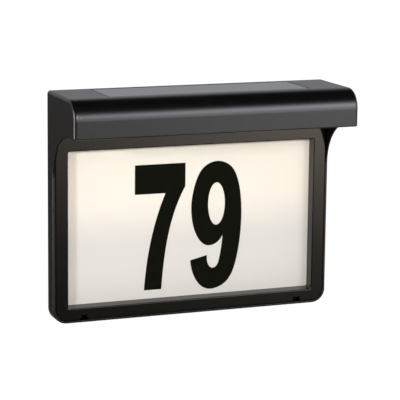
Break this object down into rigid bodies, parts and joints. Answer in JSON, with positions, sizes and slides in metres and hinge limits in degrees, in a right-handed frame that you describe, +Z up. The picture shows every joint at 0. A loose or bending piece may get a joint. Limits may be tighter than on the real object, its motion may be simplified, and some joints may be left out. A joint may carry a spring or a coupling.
{
  "type": "house_number_sign",
  "caption": "Wall-hung solar house number sign in black plastic: a deep hood with solar panel and downlights over an opal number panel in a lever-out front frame",
  "frame": {"origin": "midway between the two wall screw holes, on the back face that lies on the wall", "axes": "X along the sign, Y into the wall so that the front faces -Y, Z up"},
  "size_m": [0.26, 0.0745, 0.2035],
  "materials": {
    "black_plastic": "fine grained black moulding",
    "black_gloss": "smooth, slightly glossy black moulding",
    "opal_panel": "cream opal sheet",
    "black_film": "self-adhesive film",
    "seal_rubber": "soft foam and cord",
    "screw_steel": "plated steel",
    "clear_plastic": "clear moulding",
    "white_plastic": "white moulding",
    "circuit_board": "green lacquered laminate",
    "lamp_glow": "warm light-giving face",
    "cell_wrap": "plain blue shrink wrap",
    "contact_steel": "nickel plated strip",
    "chip_plastic": "dark moulded cases",
    "solar_silicon": "dark cell strips",
    "lead_wire": "insulated leads"
  },
  "bodies": {
    "sign": {"housing": "black_plastic", "number_panel": "opal_panel", "digit_seven": "black_film", "digit_nine": "black_film", "hood_base": "black_plastic", "base_seal": "seal_rubber", "base_screws": "screw_steel", "lamp_lens": "clear_plastic", "lamp_trough": "white_plastic", "lamp_board": "circuit_board", "lamps": "white_plastic", "lamp_windows": "lamp_glow", "lamp_screws": "screw_steel", "battery_cell": "cell_wrap", "battery_contacts": "contact_steel", "control_board": "circuit_board", "board_parts": "chip_plastic", "lead_connectors": "white_plastic", "board_screws": "screw_steel", "switch_body": "chip_plastic", "switch_pins": "contact_steel", "solar_tape_ring": "seal_rubber", "solar_back_board": "circuit_board", "solar_cells": "solar_silicon", "solar_glazing": "clear_plastic", "solar_leads": "lead_wire", "lamp_leads": "lead_wire", "battery_leads": "lead_wire", "switch_leads": "lead_wire"},
    "frame": {"front_frame": "black_gloss"},
    "door": {"battery_door": "black_plastic", "battery_seal": "seal_rubber", "door_screws": "screw_steel"},
    "knob": {"switch_knob": "white_plastic"}
  },
  "joints": [
    {"name": "frame_release", "type": "slide", "parent": "sign", "child": "frame", "axis": [0, -1, 0], "range_m": [0, 0.02]},
    {"name": "door_release", "type": "slide", "parent": "sign", "child": "door", "axis": [0, 0, -1], "range_m": [0, 0.012]},
    {"name": "switch_slide", "type": "slide", "parent": "sign", "child": "knob", "axis": [1, 0, 0], "range_m": [-0.004, 0]}
  ]
}
